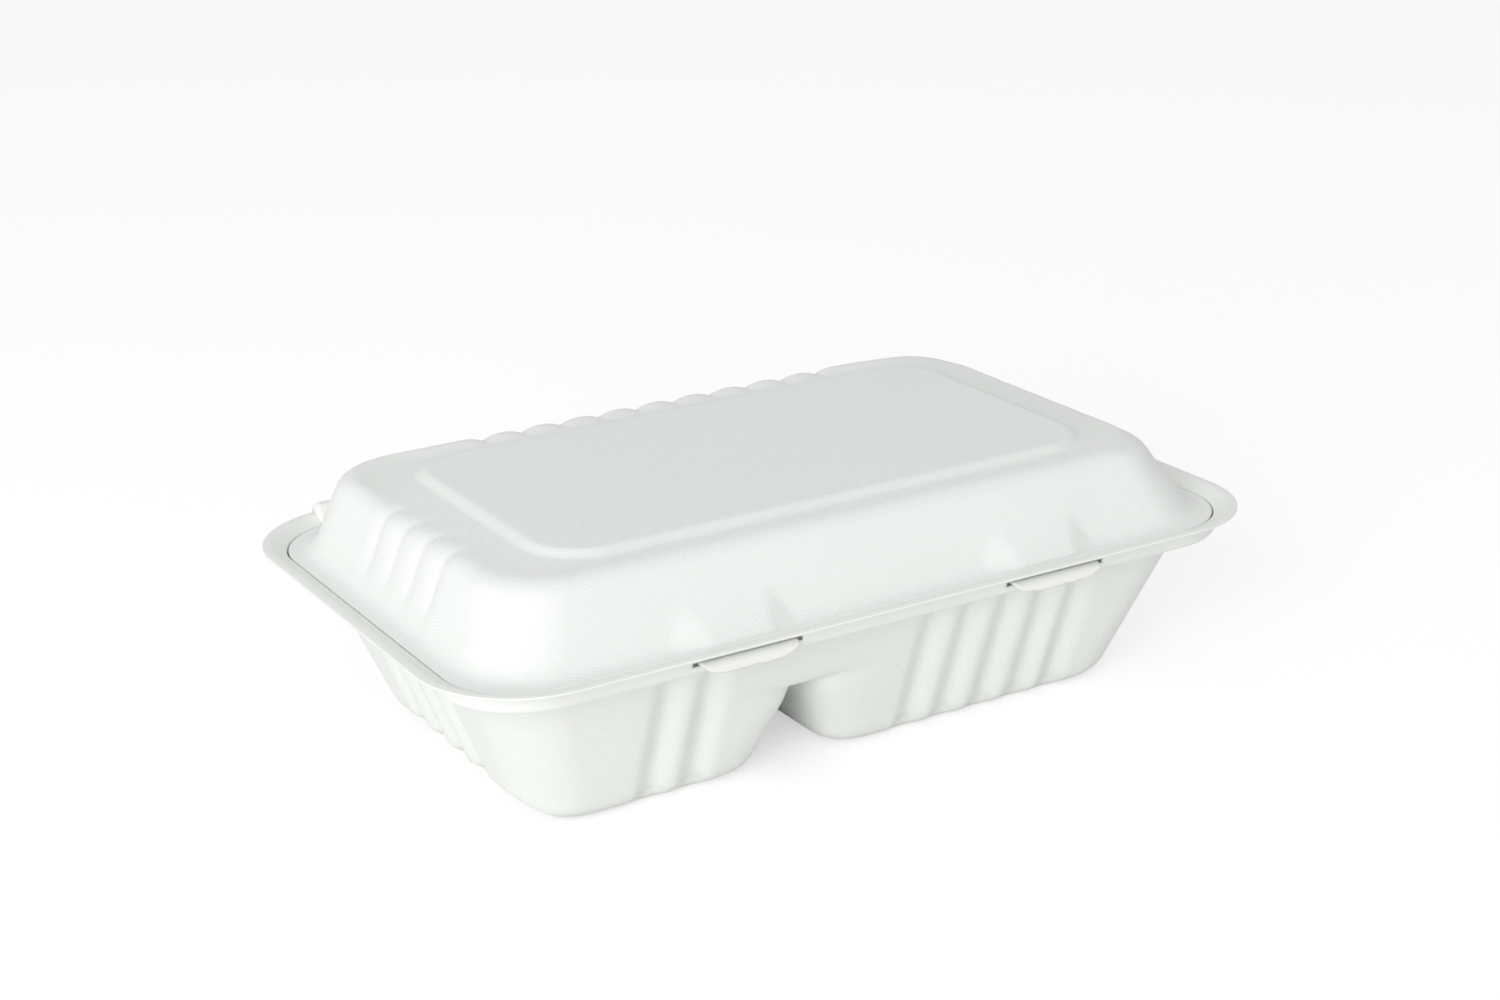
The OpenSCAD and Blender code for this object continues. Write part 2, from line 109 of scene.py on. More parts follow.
def ease(x, low, high):
    """Smooth step: 0 below low, 1 above high, 3t^2 - 2t^3 between them."""
    t = np.clip((x - low) / (high - low), 0, 1)
    return t * t * (3 - 2 * t)


def profile(corners, step=2.0):
    """Line of points through corners (inset, z, radius), each corner an arc that touches
    both of its legs, and long legs cut to the given step."""
    pts = np.array([c[:2] for c in corners], float)
    out = [pts[:1]]
    for k in range(1, len(pts) - 1):
        here = pts[k]
        leg_in, leg_out = pts[k - 1] - here, pts[k + 1] - here
        unit_in = leg_in / np.linalg.norm(leg_in)
        unit_out = leg_out / np.linalg.norm(leg_out)
        half = np.arccos(np.clip(unit_in @ unit_out, -1, 1)) / 2
        reach = corners[k][2] / np.tan(half)
        centre = here + (unit_in + unit_out) / np.linalg.norm(unit_in + unit_out) \
            * corners[k][2] / np.sin(half)
        first = here + unit_in * reach - centre
        last = here + unit_out * reach - centre
        a0 = np.arctan2(first[1], first[0])
        sweep = (np.arctan2(last[1], last[0]) - a0 + np.pi) % (2 * np.pi) - np.pi
        n = max(3, int(np.ceil(abs(sweep) / 0.3)))
        q = a0 + sweep * np.linspace(0, 1, n + 1)
        out.append(centre + corners[k][2] * np.stack([np.cos(q), np.sin(q)], 1))
    out.append(pts[-1:])
    line = np.concatenate(out)
    parts = [line[:1]]
    for a, b in zip(line[:-1], line[1:]):
        n = max(1, int(np.ceil(np.linalg.norm(b - a) / step)))
        t = np.linspace(0, 1, n + 1)[1:, None]
        parts.append(a + (b - a) * t)
    line = np.concatenate(parts)
    keep = np.r_[True, np.linalg.norm(np.diff(line, axis=0), axis=1) > 1e-6]
    return line[keep]


def with_slot(line):
    """The profile with one point at the slots' top, one halfway and one at their bottom,
    and none else between them."""
    high, low = SLOT_Z[1], SLOT_Z[0]
    first = int(np.argmax(line[:, 1] < high))
    last = int(np.argmax(line[:, 1] < low))
    z = np.array([high, (high + low) / 2, low])
    below = line[first - 1:last + 1]
    inset = np.interp(-z, -below[:, 1], below[:, 0])
    inset[1] = (inset[0] + inset[2]) / 2
    return np.concatenate([line[:first], np.stack([inset, z], 1), line[last:]])


# One ring has these columns, counter-clockwise from the middle of the front left corner
FIXED_X = np.arange(-70.0, 70.5, 1.0)
FIXED_Y = np.arange(-25.0, 25.5, 1.0)
EXTRA = 4
ARC = 16


def side_columns(fixed, limit):
    """Places along one side for each ring: the fixed ones, drawn together where the side
    is short, and EXTRA more up to where the corner starts."""
    share = np.minimum(1, limit / (fixed[-1] + 1))[:, None]
    inner = fixed[None] * share
    t = np.arange(1, EXTRA + 1)[None] / (EXTRA + 1)
    outer = inner[:, -1:] + t * (limit[:, None] - inner[:, -1:])
    return np.concatenate([-outer[:, ::-1], inner, outer], 1)


def rings(a, b, r):
    """Points and outward normals of rounded rectangles with half sides a, b, corners r.

    Straight sides keep the columns, and a corner is centre + r (cos q, sin q) with q in
    ARC steps. Returns x, y, nx, ny with one row for each ring.
    """
    rows = len(a)
    sx, sy = side_columns(FIXED_X, a - r), side_columns(FIXED_Y, b - r)
    q = np.radians(np.linspace(0, 90, ARC + 1))
    half = ARC // 2
    zero = np.zeros((rows, 1))

    def corner(cx, cy, start, part):
        angle = start + q[part]
        cos = zero + np.cos(angle)[None]
        sin = zero + np.sin(angle)[None]
        return (cx[:, None] + r[:, None] * cos, cy[:, None] + r[:, None] * sin, cos, sin)

    def side(x, y, nx, ny):
        shape = np.broadcast_shapes(x.shape, y.shape)
        return tuple(np.broadcast_to(v, shape) for v in (x, y, zero + nx, zero + ny))

    whole = slice(None)
    ca, cb = a - r, b - r
    parts = [
        corner(-ca, -cb, np.pi, slice(half, None)),
        side(sx, -b[:, None], 0, -1),
        corner(ca, -cb, -np.pi / 2, whole),
        side(a[:, None], sy, 1, 0),
        corner(ca, cb, 0, whole),
        side(sx[:, ::-1], b[:, None], 0, 1),
        corner(-ca, cb, np.pi / 2, whole),
        side(-a[:, None], sy[:, ::-1], -1, 0),
        corner(-ca, -cb, np.pi, slice(0, half)),
    ]
    return [np.concatenate([p[k] for p in parts], 1) for k in range(4)]


NX = len(FIXED_X) + 2 * EXTRA
NY = len(FIXED_Y) + 2 * EXTRA
HALF = ARC // 2
FRONT = HALF + 1
RIGHT = FRONT + NX + ARC + 1
REAR = RIGHT + NY + ARC + 1
LEFT = REAR + NX + ARC + 1
COLUMNS = LEFT + NY + HALF
FULL_X = np.r_[np.full(EXTRA, -99.0), FIXED_X, np.full(EXTRA, 99.0)]
FULL_Y = np.r_[np.full(EXTRA, -99.0), FIXED_Y, np.full(EXTRA, 99.0)]


def along(front=None, right=None, rear=None, left=None):
    """One number for each column, from a function of place for each side."""
    out = np.zeros(COLUMNS)
    for start, places, func in ((FRONT, FULL_X, front), (RIGHT, FULL_Y, right),
                                (REAR, FULL_X[::-1], rear), (LEFT, FULL_Y[::-1], left)):
        if func is not None:
            out[start:start + len(places)] = func(places)
    return out


def valleys(centres, half, power):
    """Share of a flute's depth at a place: (1 + cos(pi u)) / 2 to a power, where u is the
    distance to the nearest centre over the half width, and 0 beyond it."""
    middle = np.array(centres, float)

    def share(place):
        u = np.abs(place[:, None] - middle[None]).min(1) / half
        return ((1 + np.cos(np.pi * np.clip(u, 0, 1))) / 2) ** power

    return share


def creases(centres, half):
    """Share of a sharp groove's depth at a place: (1 - u)^2, a cusp between round lobes."""
    middle = np.array(centres, float)

    def share(place):
        u = np.abs(place[:, None] - middle[None]).min(1) / half
        return np.clip(1 - u, 0, 1) ** 2

    return share


def arc_lengths(x, y):
    """Distance along a closed ring up to each column, with the whole way round last."""
    dx = np.diff(np.r_[x, x[:1]])
    dy = np.diff(np.r_[y, y[:1]])
    return np.r_[0, np.cumsum(np.hypot(dx, dy))]


def middle_patch(x, y):
    """Coons patch inside a ring: B(s)(1-t) + T(s)t + L(t)(1-s) + R(t)s less the bilinear
    corners. Returns the ring's columns on the patch's rim, and x and y inside."""
    nb, nl = HALF + NX + HALF + 1, HALF + NY + HALF + 1
    i0, i1 = 0, nb
    i2, i3 = nb + nl, 2 * nb + nl
    bottom = np.arange(i0, i1 + 1)
    right = np.arange(i1, i2 + 1)
    top = np.arange(i2, i3 + 1)[::-1]
    left = (np.arange(i3, i3 + nl + 1) % COLUMNS)[::-1]
    s = (x[bottom] - x[i0]) / (x[i1] - x[i0])
    t = (y[left] - y[i0]) / (y[i3] - y[i0])
    s, t = s[None], t[:, None]

    def coons(v):
        edges = v[bottom][None] * (1 - t) + v[top][None] * t \
            + v[left][:, None] * (1 - s) + v[right][:, None] * s
        corners = v[i0] * (1 - s) * (1 - t) + v[i1] * s * (1 - t) \
            + v[i3] * (1 - s) * t + v[i2] * s * t
        return edges - corners

    return bottom, right, top, left, coons(x), coons(y)


def corner_radius(inset):
    """Corner radius of a ring: it falls by the inset over the lip and a quarter of it below."""
    return RIM_R - np.minimum(inset, 7.0) - 0.25 * np.maximum(inset - 7.0, 0)


class Sheet:
    """Collects grids of points, their quads and the places of the wire imprint on them."""

    def __init__(self):
        self.points, self.quads, self.places, self.marks = [], [], [], []
        self.count = 0

    def add(self, x, y, z, mark):
        """Adds points and their share of the imprint, and returns their numbers."""
        p = np.stack([x, y, z], -1).reshape(-1, 3)
        self.points.append(p)
        self.marks.append(np.broadcast_to(mark, x.shape).reshape(-1))
        self.count += len(p)
        return np.arange(self.count - len(p), self.count).reshape(x.shape)

    def skin(self, index, u, v, flip, hole=None):
        """Quads over a grid of point numbers, with u and v of the imprint at each."""
        corner = (slice(None, -1), slice(1, None))
        order = [(0, 0), (0, 1), (1, 1), (1, 0)]
        if flip:
            order.reverse()
        keep = np.ones((index.shape[0] - 1, index.shape[1] - 1), bool)
        if hole is not None:
            keep &= ~hole
        quad = np.stack([index[corner[i], corner[j]] for i, j in order], -1)
        place = np.stack([np.stack([u[corner[i], corner[j]], v[corner[i], corner[j]]], -1)
                          for i, j in order], -2)
        self.quads.append(quad[keep])
        self.places.append(place[keep])

    def piece(self, name, material, body, slot, nodes):
        """Makes the mesh, in metres, puts it under its body and hides the model's parts it replaces.
        """
        points = np.concatenate(self.points) / 1000
        quads = np.concatenate(self.quads)
        places = np.concatenate(self.places)
        mesh = bpy.data.meshes.new(name)
        mesh.from_pydata(points.tolist(), [], quads.tolist())
        layer = mesh.uv_layers.new(name="imprint_map")
        layer.data.foreach_set("uv", places.reshape(-1).astype(np.float32))
        share = mesh.attributes.new("imprint", "FLOAT", "POINT")
        share.data.foreach_set("value", np.concatenate(self.marks).astype(np.float32))
        mesh.polygons.foreach_set("use_smooth", np.ones(len(quads), bool))
        mesh.materials.append(material)
        mesh.validate()
        mesh.update()
        piece = bpy.data.objects.new(name, mesh)
        bpy.context.scene.collection.objects.link(piece)
        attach(piece, body)
        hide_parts(*nodes)
        return piece


def closed(index):
    """The grid of point numbers with its first column again at the end."""
    return np.concatenate([index, index[:, :1]], 1)


def normals_of(line):
    """Unit normals of a profile, on the left of its run."""
    d = np.gradient(line, axis=0)
    d /= np.linalg.norm(d, axis=1)[:, None]
    return np.stack([-d[:, 1], d[:, 0]], 1)


def run_of(line):
    """Distance along a profile up to each of its points."""
    return np.r_[0, np.cumsum(np.linalg.norm(np.diff(line, axis=0), axis=1))]


def soft_least(p, q, width):
    """Smooth minimum: min(p, q) - h^3 w / 6 with h = max(w - |p - q|, 0) / w."""
    h = np.maximum(width - np.abs(p - q), 0) / width
    return np.minimum(p, q) - h ** 3 * width / 6


def divided(depth, x, height):
    """Height of the cups' sheet where the inset from the rim is depth and the length is x.

    The ceiling holds its own inset. Beside the divider a cup's inset counts from the
    channel's edge, and the smaller of it and the depth holds, blended over the round corner
    of the cup. The cup takes over from the ceiling where its inset is the larger one.
    """
    line, rise = height
    top = np.interp(-DIVIDER_H - rise, -line[:, 1], line[:, 0])
    off = np.abs(x - DIVIDER_X) - CREST_W / 2
    near = 1 - ease(off, 10, 26)
    ceiling = soft_least(depth, top, 0.01 + 2.5 * near)
    cup = soft_least(depth, top + off, 15.8)
    over = np.maximum(cup - ceiling, 0)
    inset = ceiling + over * ease(over, 0, 0.01 + 2.0 * near)
    return np.interp(inset, line[:, 0], line[:, 1])


def above_chamfer(height, x, rise):
    """Keeps a height above the plane slope (|x| - start) that cuts both ends' lower edges."""
    slope, start = END_CUT
    return -soft_least(-height, -(slope * (np.abs(x) - start) + rise), 1.2)


def make_tray(material):
    """The tray: lip, rim band with two slots, seat, fluted cup walls, floors, divider."""
    floor_in = 36.2
    tan = np.tan(WALL_LEAN)
    level = WALL / np.cos(WALL_LEAN)
    edge = (0.0, 49.72, 0)

    def wall_at(z):
        return 14.2 + (41.5 - z) * tan

    under = [edge, (0, 49.4, 0.2), (2.0, 49.1, 2.0), (5.4, 47.3, 0.8), (5.88, 43.1, 1.6),
             (wall_at(43.1), 43.1, 3.0), (wall_at(0), 0, 7.0), (floor_in, 0, 0)]
    above = [edge, (0, 50.0, 0.25), (2.3, 50.0, 2.5), (6.25, 48.15, 0.5), (6.72, SEAT_Z, 1.1),
             (wall_at(SEAT_Z) + level, SEAT_Z, 2.2), (wall_at(WALL) + level, WALL, 6.2),
             (floor_in, WALL, 0)]
    flute_depth = 2.0
    wall_from = 12
    long_flutes = valleys([-59, -47, 18.5, 30.5, 42.5, 54.5, 65.5], 6.0, 1.1)
    end_flutes = valleys([-18, -6, 6, 18], 6.0, 1.1)
    share = along(long_flutes, end_flutes, long_flutes, end_flutes)[None]
    ref = rings(np.array([98.0]), np.array([53.0]), np.array([23.2]))
    around = arc_lengths(ref[0][0], ref[1][0])
    sheet = Sheet()
    kept = []
    for side, corners in enumerate((under, above)):
        face_print = INSIDE_PRINT if side else 1.0
        line = with_slot(profile(corners, 1.4))
        depth, z = line[:, 0], line[:, 1]
        wall = line[np.argmax(depth > wall_from):]
        xs, ys, nx, ny = rings(HALF_L - depth, HALF_W - depth, corner_radius(depth))
        steep = (depth > wall_from)[:, None]
        height = np.where(steep, divided(depth[:, None], xs, (wall, side * WALL)), z[:, None])
        height = np.where(steep, above_chamfer(height, xs, side * WALL), height)
        window = ease(height, 0.0, 2.2) * (1 - ease(height, 36.5, 41)) * steep
        normal = normals_of(line)
        push = flute_depth * share * window
        inward = push * normal[:, 0][:, None]
        lift = push * normal[:, 1][:, None]
        sx, sy, sz = xs - nx * inward, ys - ny * inward, height + lift
        print_share = face_print * ease(depth, 5.6, 7.0)[:, None]
        mark = np.broadcast_to(print_share, sx.shape)
        if side == 0:
            index = sheet.add(sx, sy, sz, mark)
        else:
            index = sheet.add(sx[1:], sy[1:], sz[1:], mark[1:])
            index = np.concatenate([kept[0][0][:1], index])
        v = np.broadcast_to(run_of(line)[:, None], (len(line), COLUMNS + 1))
        u = np.broadcast_to(around[None], v.shape)
        row0 = int(np.argmin(np.abs(z - SLOT_Z[1]) + (depth > 8) * 99))
        row1 = int(np.argmin(np.abs(z - SLOT_Z[0]) + (depth > 8) * 99))
        x_mid = np.full(COLUMNS, 999.0)
        start = FRONT + EXTRA
        x_mid[start:start + len(FIXED_X) - 1] = (FIXED_X[:-1] + FIXED_X[1:]) / 2
        slot_cols = np.minimum(np.abs(x_mid - TABS[0]), np.abs(x_mid - TABS[1])) < SLOT_HALF
        hole = np.zeros((len(line) - 1, COLUMNS), bool)
        hole[row0:row1] = slot_cols[None]
        sheet.skin(closed(index), u, v, side == 0, hole)
        kept.append((index, (row0, row1), slot_cols))
        bottom, right, top, left, px, py = middle_patch(sx[-1], sy[-1])
        a0, b0 = HALF_L - floor_in, HALF_W - floor_in
        r0 = corner_radius(floor_in)
        qx, qy = np.abs(px) - a0 + r0, np.abs(py) - b0 + r0
        out = np.hypot(np.maximum(qx, 0), np.maximum(qy, 0)) + np.minimum(np.maximum(qx, qy), 0)
        pz = divided(floor_in - (out - r0), px, (wall, side * WALL))
        pz = above_chamfer(pz, px, side * WALL)
        grid = sheet.add(px, py, pz, face_print)
        grid[0], grid[-1] = index[-1][bottom], index[-1][top]
        grid[:, 0], grid[:, -1] = index[-1][left], index[-1][right]
        rise = np.hypot(np.diff(px, axis=1), np.diff(pz, axis=1))
        pu = np.concatenate([np.zeros((len(px), 1)), np.cumsum(rise, 1)], 1)
        sheet.skin(grid, pu, py, side == 0)
    (lower, low_rows, slot_cols), (upper, up_rows, _) = kept
    slot_edges(sheet, lower, upper, low_rows, up_rows, slot_cols)
    return sheet.piece("tray_shell", material, "tray", "tray_fibre", ["tray"])


def slot_edges(sheet, lower, upper, low_rows, up_rows, slot_cols):
    """Walls round the two slots, from the band's outer face to its inner face."""
    padded = np.r_[False, slot_cols, False]
    starts = np.flatnonzero(~padded[:-1] & padded[1:])
    ends = np.flatnonzero(padded[:-1] & ~padded[1:])
    for a, b in zip(starts, ends):
        run = np.arange(a, b + 1)
        sides = [
            (lower[low_rows[0], run], upper[up_rows[0], run], True),
            (lower[low_rows[1], run], upper[up_rows[1], run], False),
            (lower[low_rows[0]:low_rows[1] + 1, a], upper[up_rows[0]:up_rows[1] + 1, a], False),
            (lower[low_rows[0]:low_rows[1] + 1, b], upper[up_rows[0]:up_rows[1] + 1, b], True),
        ]
        for outer, inner, flip in sides:
            index = np.stack([outer, inner])
            u, v = np.meshgrid(np.arange(index.shape[1], dtype=float), [0.0, 0.9])
            sheet.skin(index, u, v, flip)


def make_lid(material):
    """The lid: skirt, flange, dome with grooves and two buttresses, and raised panel."""
    tan = np.tan(DOME_LEAN)
    level = WALL / np.cos(DOME_LEAN)
    flat_in = 27.0
    foot = (8.35, 44.1, 0)

    def wall_at(z):
        return 12.66 + (z - 50.9) * tan

    outside = [foot, (7.9, 44.1, 0.4), (6.55, 48.2, 0.45), (wall_at(48.2), 48.2, 5.5),
               (wall_at(LID_TOP), LID_TOP, 6.0), (flat_in, LID_TOP, 0)]
    low_top = LID_TOP - WALL
    inside = [foot, (8.8, 44.1, 0.4), (7.75, 47.3, 0.4), (wall_at(47.3) + level, 47.3, 6.0),
              (wall_at(low_top) + level, low_top, 5.2), (flat_in, low_top, 0)]
    rear = creases(np.arange(-4.5, 5) * FLUTE_PITCH, 5.6)
    ends = creases(np.array([-21, -9, 3, 15]), 5.6)
    share = along(None, lambda y: 0.3 * ends(y), rear, lambda y: 0.7 * ends(y))[None]
    place = np.full(COLUMNS, 999.0)
    place[FRONT:FRONT + NX] = FULL_X
    off = np.minimum(np.abs(place - TABS[0]), np.abs(place - TABS[1]))[None]
    left_flank = (place < TABS[0]) | ((place > TABS[1] - 40) & (place < TABS[1]))
    wider = 1.9 * left_flank[None]
    ref = rings(np.array([100.0]), np.array([55.0]), np.array([23.6]))
    around = arc_lengths(ref[0][0], ref[1][0])
    sheet = Sheet()
    first = None
    for side, corners in enumerate((outside, inside)):
        face_print = INSIDE_PRINT if side else 1.0
        line = profile(corners, 1.6)
        depth, z = line[:, 0], line[:, 1]
        xs, ys, nx, ny = rings(HALF_L - depth, HALF_W - depth, corner_radius(depth))
        normal = normals_of(line)
        window = ease(z, 50.5, 57.0) * (1 - ease(depth, 21.5, 28.0))
        push = (1.3 * window)[:, None] * share
        past = z > corners[2][1] - 0.05
        # The buttresses stand out over the flange, narrow upward and end 7.2 above it
        up = np.clip((z - 49.9) / 7.2, 0, 1)[:, None]
        inner, outer = 8.3 + 2.4 * up, 16.1 + wider - 4.2 * up
        stand = 3.0 * (1 - up) * (past * ease(depth, 6.9 + side, 11.5 + side))[:, None]
        stand = stand * np.clip((outer - off) / (outer - inner), 0, 1)
        inward = -push * normal[:, 0][:, None] - stand
        lift = -push * normal[:, 1][:, None]
        sx, sy, sz = xs - nx * inward, ys - ny * inward, z[:, None] + lift
        # The right end's shoulder leans in and drops, and the rear one stands out and up
        shoulder = (ease(z, 51.0, 66.0) * (1 - ease(depth, 22.0, 26.9)))[:, None]
        right_end = ease(xs, 76.0, 100.0) * (1 - ease(ys, 40.0, 56.0)) * shoulder
        rear_side = ease(ys, 20.0, 50.0) * (1 - ease(xs, 60.0, 100.0)) * shoulder
        sx, sy = sx - 2.4 * right_end, sy + 1.5 * rear_side
        sz = sz - 0.8 * right_end + 1.0 * rear_side
        print_share = face_print * past * ease(depth, 7.2, 8.6)
        mark = np.broadcast_to(print_share[:, None], sx.shape)
        if side == 0:
            index = sheet.add(sx, sy, sz, mark)
            first = index
        else:
            index = sheet.add(sx[1:], sy[1:], sz[1:], mark[1:])
            index = np.concatenate([first[:1], index])
        run = run_of(line)
        v = np.broadcast_to(run[:, None], (len(line), COLUMNS + 1))
        u = np.broadcast_to(around[None], v.shape)
        sheet.skin(closed(index), u, v, side == 1)
        t = np.linspace(0, 1, 8)
        grow = 2.2 - 4.4 * t
        top = LID_TOP - side * WALL + PANEL_RISE * ease(t, 0, 1)
        px, py, _, _ = rings(82 + grow, 44.5 + grow, 16 + grow)
        slope = sheet.add(px, py, np.broadcast_to(top[:, None], px.shape), face_print)
        joined = closed(np.concatenate([index[-1:], slope]))
        ux = np.concatenate([sx[-1:], px])
        uy = np.concatenate([sy[-1:], py])
        sheet.skin(joined, closed(ux), closed(uy), side == 1)
        bottom, right, upper, left, gx, gy = middle_patch(px[-1], py[-1])
        grid = sheet.add(gx, gy, np.full(gx.shape, top[-1]), face_print)
        grid[0], grid[-1] = slope[-1][bottom], slope[-1][upper]
        grid[:, 0], grid[:, -1] = slope[-1][left], slope[-1][right]
        sheet.skin(grid, gx, gy, side == 1)
    return sheet.piece("lid_shell", material, "lid", "lid_fibre", ["lid"])


def swept(name, loops, material):
    """Closed tube through loops of points (stations x points x 3), with fanned ends."""
    stations, count = loops.shape[:2]
    points = np.concatenate([loops.reshape(-1, 3), loops[:1].mean(1), loops[-1:].mean(1)])
    index = np.arange(stations * count).reshape(stations, count)
    index = np.concatenate([index, index[:, :1]], 1)
    quads = np.stack([index[:-1, :-1], index[:-1, 1:], index[1:, 1:], index[1:, :-1]], -1)
    first, last = stations * count, stations * count + 1
    start = np.stack([index[0, 1:], index[0, :-1], np.full(count, first)], -1)
    end = np.stack([index[-1, :-1], index[-1, 1:], np.full(count, last)], -1)
    faces = quads.reshape(-1, 4).tolist() + start.tolist() + end.tolist()
    mesh = bpy.data.meshes.new(name)
    mesh.from_pydata((points / 1000).tolist(), [], faces)
    mesh.polygons.foreach_set("use_smooth", np.ones(len(faces), bool))
    mesh.materials.append(material)
    mesh.update()
    piece = bpy.data.objects.new(name, mesh)
    bpy.context.scene.collection.objects.link(piece)
    return piece


def make_fold(material):
    """The fold: a strip 0.6 thick whose section stands up from the lip, bends over and
    slopes down to the flange, carried along the rear rim. Its ends are pinched shut."""
    line = profile([(73.65, 50.06, 0), (73.75, 52.7, 0.8), (71.3, 52.7, 1.1), (66.9, 48.56, 0)], 0.5)
    side = normals_of(line) * 0.3
    outer, inner = line - side, line + side
    ground = np.interp(inner[:, 0], [68.5, 72.6], [48.3, 50.08])
    half = 97.0
    end = np.array([0, 0.3, 0.8, 1.4, 2.0])
    x = np.r_[-half + end, np.linspace(-94.5, 94.5, 95), half - end[::-1]]
    from_end = half - np.abs(x)
    pinch = 1 - ease(from_end, 1.4, 2.5)[:, None]
    t = np.clip(1 - from_end / 1.5, 0, 1)
    low = np.sqrt(1 - 0.7 * t * t)[:, None]
    under = inner[None, ::-1, 1] * (1 - pinch) + ground[None, ::-1] * pinch
    over = np.maximum(ground + 0.03, outer[:, 1])[None]
    over = ground[None] + (over - ground[None]) * low
    loops = np.zeros((len(x), 2 * len(line), 3))
    loops[..., 0] = x[:, None]
    loops[..., 1] = np.concatenate([outer[:, 0], inner[::-1, 0]])[None]
    loops[..., 2] = np.concatenate([over, np.broadcast_to(under, (len(x), len(line)))], 1)
    piece = swept("fold_strip", loops, material)
    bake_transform(piece)
    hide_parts("hinge_fold")


def make_tab(name, middle, node, material):
    """A lock tab: a tongue that follows a bent line out of the lid's skirt, through the
    slot and down over the band. Its line is cut short towards both ends."""
    line = profile([(-67.8, 45.9, 0), (-71.2, 45.9, 1.3), (-71.85, 43.2, 0)], 0.5)
    run = run_of(line)
    normal = normals_of(line)
    s = np.linspace(-1, 1, 73)[:, None]
    t = np.linspace(0, 1, 15)[None]
    out = 2.2
    full = run[-1] * (1 - 0.03 * np.cos(7 * s + middle) - 0.03 * np.sin(17 * s))
    reach = out + (np.minimum(full, run[-1]) - out) * (1 - np.abs(s) ** 5) ** 0.5
    at = t * reach
    half = 0.36 * np.sqrt(np.clip(1 - (np.clip(t - 0.86, 0, 1) / 0.14) ** 2, 0, 1)) * (at * 0 + 1)
    y, z = np.interp(at, run, line[:, 0]), np.interp(at, run, line[:, 1])
    ny, nz = np.interp(at, run, normal[:, 0]), np.interp(at, run, normal[:, 1])
    ys = np.concatenate([y - ny * half, (y + ny * half)[:, -2::-1]], 1)
    zs = np.concatenate([z - nz * half, (z + nz * half)[:, -2::-1]], 1)
    xs = np.broadcast_to(middle + s * 13.6, ys.shape)
    piece = swept(name, np.stack([xs, ys, zs], -1), material)
    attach(piece, "lid")
    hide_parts(node)


class Nodes:
    """Short ways to add and join nodes in one material."""

    def __init__(self, name):
        self.material = bpy.data.materials.new(name)
        self.material.use_nodes = True
        self.tree = self.material.node_tree
        self.shader = self.tree.nodes["Principled BSDF"]

    def add(self, kind, **inputs):
        node = self.tree.nodes.new("ShaderNode" + kind)
        for key, value in inputs.items():
            self.set(node.inputs[key.replace("_", " ")], value)
        return node

    def set(self, socket, value):
        if isinstance(value, bpy.types.NodeSocket):
            self.tree.links.new(value, socket)
        else:
            socket.default_value = value

    def math(self, kind, a, b=0.0):
        node = self.tree.nodes.new("ShaderNodeMath")
        node.operation = kind
        self.set(node.inputs[0], a)
        self.set(node.inputs[1], b)
        return node.outputs[0]


def fibre(name, tone, shade, imprint):
    """Moulded plant fibre: pale matte pulp with faint clouds and flecks.

    The wire screen leaves dimples sin(2 pi u / p) sin(2 pi v / p) on the map's u and v,
    in millimetres, for the wires' pitch p, over fine felted noise.
    """
    n = Nodes(name)
    place = n.add("TexCoord").outputs["Object"]
    clouds = n.add("TexNoise", Vector=place, Scale=28.0, Detail=3.0, Roughness=0.55)
    flecks = n.add("TexNoise", Vector=place, Scale=900.0, Detail=2.0, Roughness=0.6)
    mix = n.tree.nodes.new("ShaderNodeMix")
    mix.data_type = "RGBA"
    n.set(mix.inputs["Factor"], n.math("MULTIPLY", clouds.outputs["Fac"], 0.8))
    n.set(mix.inputs[6], (*tone, 1))
    n.set(mix.inputs[7], (*shade, 1))
    n.set(n.shader.inputs["Base Color"], mix.outputs[2])
    n.set(n.shader.inputs["Roughness"], 0.82)
    n.set(n.shader.inputs["Specular IOR Level"], 0.25)
    height = n.math("MULTIPLY", flecks.outputs["Fac"], 0.45)
    if imprint:
        flat = n.tree.nodes.new("ShaderNodeUVMap")
        flat.uv_map = "imprint_map"
        split = n.add("SeparateXYZ", Vector=flat.outputs["UV"])
        k = 2 * np.pi / WIRE_PITCH
        wires = n.math("MULTIPLY", n.math("SINE", n.math("MULTIPLY", split.outputs["X"], k)),
                       n.math("SINE", n.math("MULTIPLY", split.outputs["Y"], k)))
        share = n.tree.nodes.new("ShaderNodeAttribute")
        share.attribute_name = "imprint"
        height = n.math("ADD", height, n.math("MULTIPLY", wires, share.outputs["Fac"]))
    bump = n.add("Bump", Height=height, Strength=1.0, Distance=0.00004)
    n.set(n.shader.inputs["Normal"], bump.outputs["Normal"])
    return n.material


def make_floor():
    """A pale floor that keeps the shadow: for the camera its own colour is darker and light
    is added, so that the open floor is as white as the background."""
    n = Nodes("floor_paper")
    n.set(n.shader.inputs["Roughness"], 0.9)
    n.set(n.shader.inputs["Specular IOR Level"], 0.0)
    n.set(n.shader.inputs["Emission Color"], (1, 1, 1, 1))
    seen = n.add("LightPath").outputs["Is Camera Ray"]
    darker = n.math("MULTIPLY", seen, 0.33)
    n.set(n.shader.inputs["Base Color"], n.math("SUBTRACT", 0.93, darker))
    n.set(n.shader.inputs["Emission Strength"], n.math("MULTIPLY", seen, 0.52))
    t = np.array([-4.0, 4.0])
    x, y = np.meshgrid(t, t)
    points = np.stack([x.ravel(), y.ravel(), np.full(4, -0.0001)], 1)
    mesh = bpy.data.meshes.new("floor")
    mesh.from_pydata(points.tolist(), [], [[0, 1, 3, 2]])
    mesh.materials.append(n.material)
    floor = bpy.data.objects.new("floor", mesh)
    bpy.context.scene.collection.objects.link(floor)


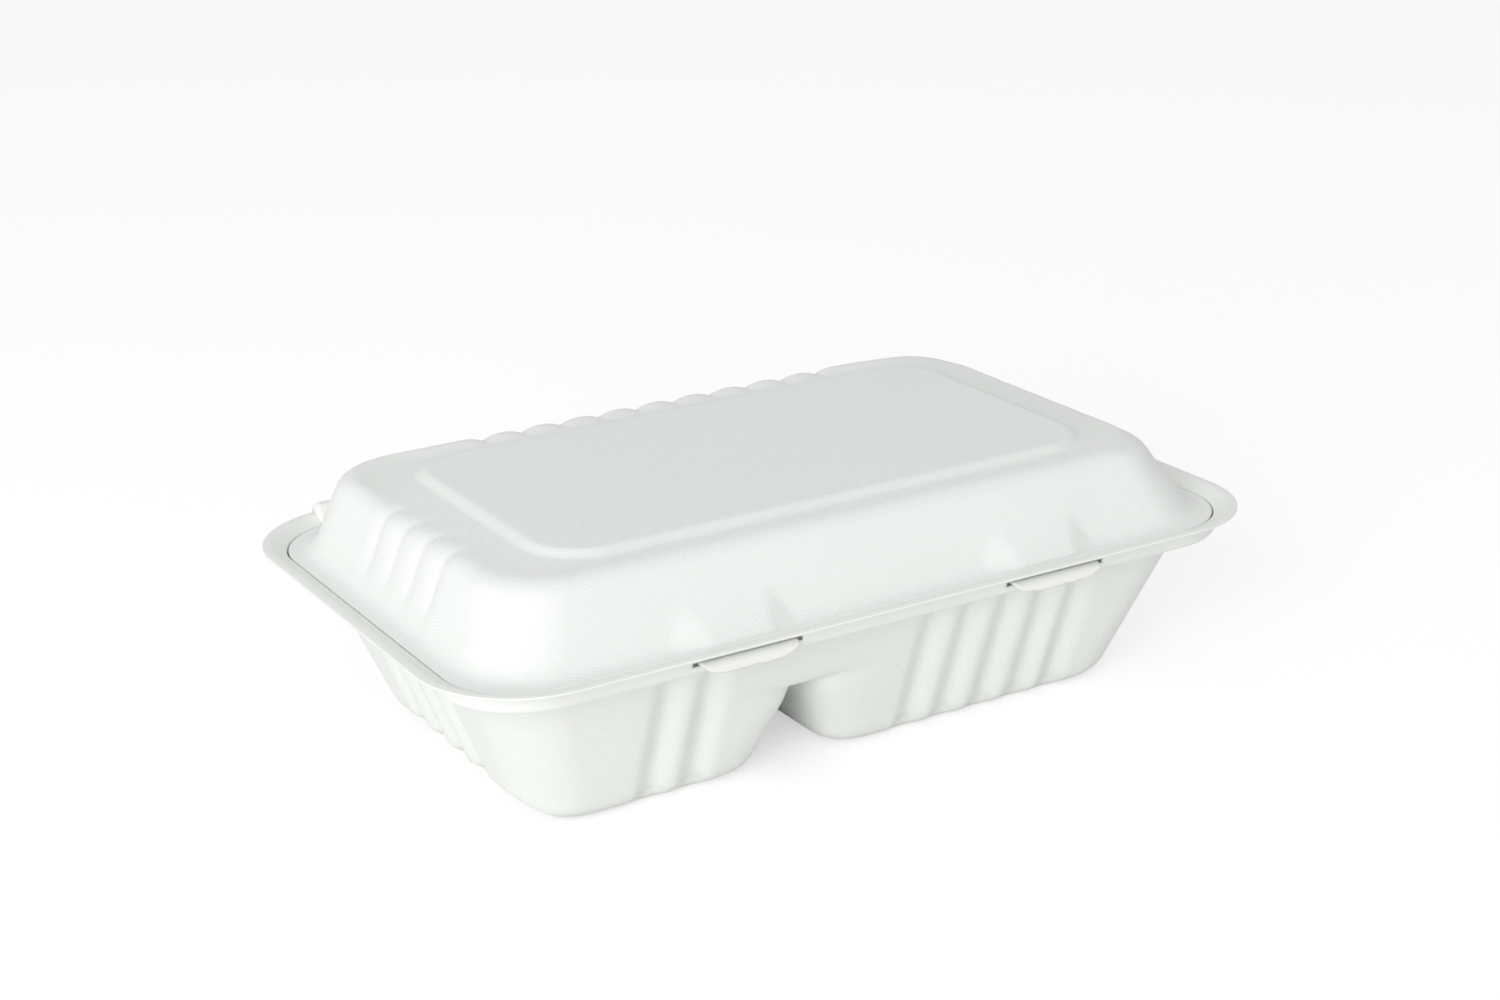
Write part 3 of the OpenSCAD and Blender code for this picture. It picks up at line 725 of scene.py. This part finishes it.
def make_light(name, azimuth, elevation, distance, size, strength):
    """A square lamp that looks at the box. Its strength is the share of plain level that
    a surface facing it gets: power = strength (pi distance)^2."""
    a, e = np.radians([azimuth, elevation])
    back = Vector((np.sin(a) * np.cos(e), -np.cos(a) * np.cos(e), np.sin(e)))
    data = bpy.data.lights.new(name, "AREA")
    data.size = size
    data.energy = strength * (np.pi * distance) ** 2
    lamp = bpy.data.objects.new(name, data)
    lamp.location = Vector((0, 0, 0.04)) + back * distance
    lamp.rotation_euler = back.to_track_quat("Z", "Y").to_euler()
    bpy.context.scene.collection.objects.link(lamp)


def make_world(level):
    """Even white surroundings at a plain level, and white where the camera sees them."""
    world = bpy.data.worlds.new("studio")
    bpy.context.scene.world = world
    world.use_nodes = True
    tree = world.node_tree
    ground = tree.nodes["Background"]
    rays = tree.nodes.new("ShaderNodeLightPath")
    seen = tree.nodes.new("ShaderNodeMath")
    seen.operation = "MAXIMUM"
    tree.links.new(rays.outputs["Is Camera Ray"], seen.inputs[0])
    tree.links.new(rays.outputs["Is Glossy Ray"], seen.inputs[1])
    step = tree.nodes.new("ShaderNodeMath")
    step.operation = "MULTIPLY_ADD"
    tree.links.new(seen.outputs[0], step.inputs[0])
    step.inputs[1].default_value = 1 - level
    step.inputs[2].default_value = level
    ground.inputs["Color"].default_value = (1, 1, 1, 1)
    tree.links.new(step.outputs[0], ground.inputs["Strength"])


look_through_camera()
tray_fibre = fibre("tray_fibre", (0.88, 0.90, 0.87), (0.84, 0.86, 0.83), True)
lid_fibre = fibre("lid_fibre", (0.88, 0.90, 0.88), (0.85, 0.87, 0.85), True)
pressed_fibre = fibre("pressed_fibre", (0.90, 0.91, 0.88), (0.86, 0.87, 0.84), False)
make_tray(tray_fibre)
make_lid(lid_fibre)
make_fold(pressed_fibre)
make_tab("left_tab", TABS[0], "left_lock_tab", pressed_fibre)
make_tab("right_tab", TABS[1], "right_lock_tab", pressed_fibre)
make_floor()
make_world(0.66)
make_light("key", -52, 20, 1.7, 1.06, 0.50)
bpy.context.scene.view_settings.view_transform = "Standard"
